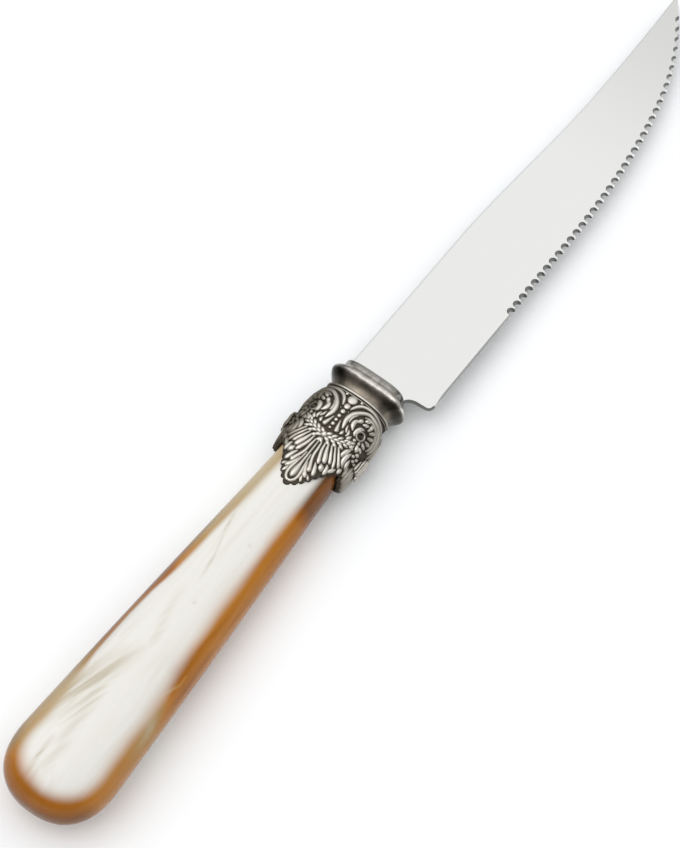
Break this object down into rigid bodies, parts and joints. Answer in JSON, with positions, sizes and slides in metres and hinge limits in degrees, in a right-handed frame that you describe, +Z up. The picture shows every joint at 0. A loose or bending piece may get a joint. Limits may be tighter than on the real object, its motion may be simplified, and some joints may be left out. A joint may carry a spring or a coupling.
{
  "type": "steak knife",
  "caption": "Serrated steak knife with a cast bolster, a leaf-ornamented ferrule and a tapered pearl-effect grip.",
  "frame": {"origin": "under the middle of the knife's length and width, on the plane that the underside of the grip lies on", "axes": "+X along the knife towards the blade's tip, +Y in the plane of the blade towards the spine, +Z up, square to the blade"},
  "size_m": [0.22, 0.0244, 0.0156],
  "materials": {
    "blade_steel": "mirror-polished stainless steel",
    "bolster_metal": "antique pewter plate, polished on the rim",
    "ferrule_metal": "antique silver, dark in the hollows and bright on the relief",
    "grip_pearl": "glossy marbled pearl and amber acrylic",
    "bedding_resin": "cured resin, hidden"
  },
  "bodies": {
    "root": {"blade": "blade_steel", "bolster": "bolster_metal", "ferrule": "ferrule_metal", "handle": "grip_pearl", "bedding": "bedding_resin"}
  },
  "joints": []
}
